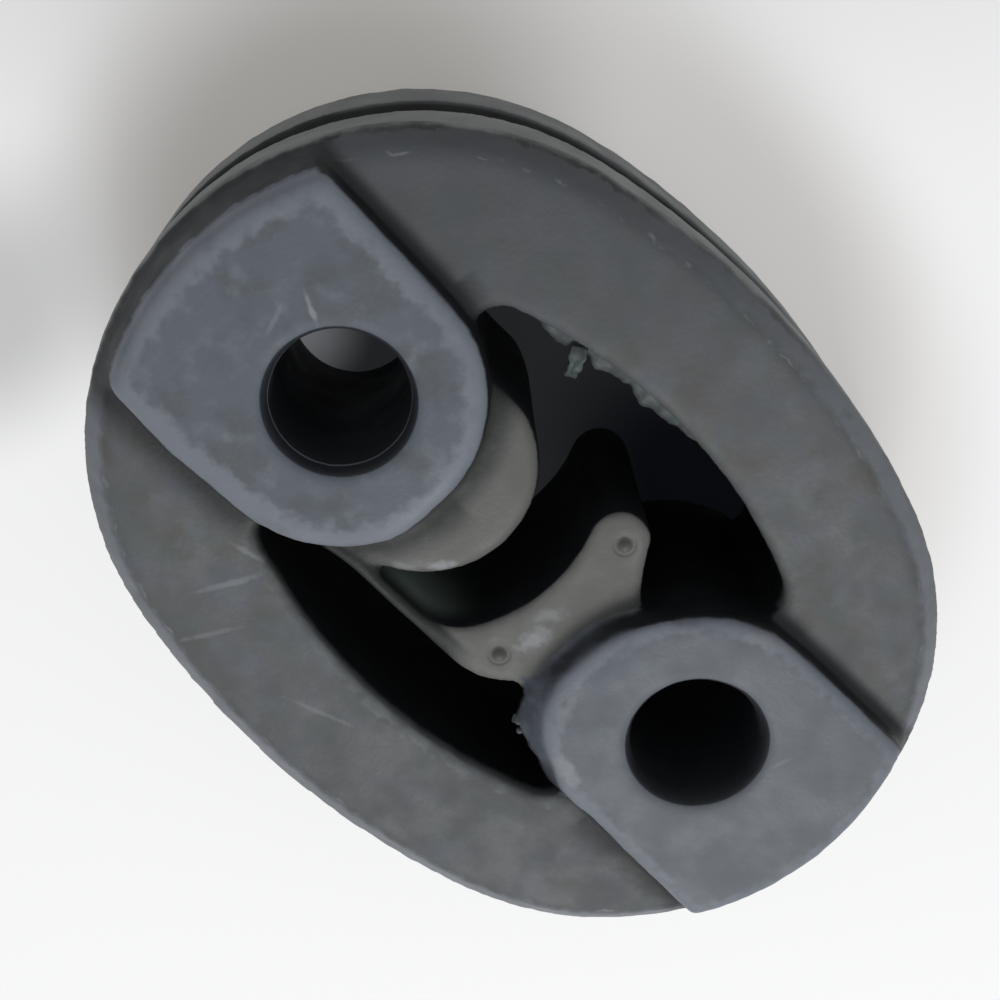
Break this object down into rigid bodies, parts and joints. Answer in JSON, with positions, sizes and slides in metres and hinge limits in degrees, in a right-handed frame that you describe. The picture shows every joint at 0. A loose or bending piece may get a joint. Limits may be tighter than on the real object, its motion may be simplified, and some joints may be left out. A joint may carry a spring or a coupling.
{
  "type": "exhaust hanger rubber",
  "caption": "Oval moulded rubber ring with a rod bore at each end and an inner bump stop that moves towards a concave saddle; hangs an exhaust pipe under a car floor.",
  "frame": {"origin": "centre of the part's box at the plane of the rear boss faces", "axes": "+X from the boss with the bump stop to the boss with the saddle, through both bores; +Y across the ring; +Z along the bores, out of the front boss faces"},
  "size_m": [0.077, 0.0568, 0.0272],
  "materials": {
    "rubber": "matt, with a dull grey bloom"
  },
  "bodies": {
    "root": {"hanger_rubber": "rubber"}
  },
  "joints": []
}
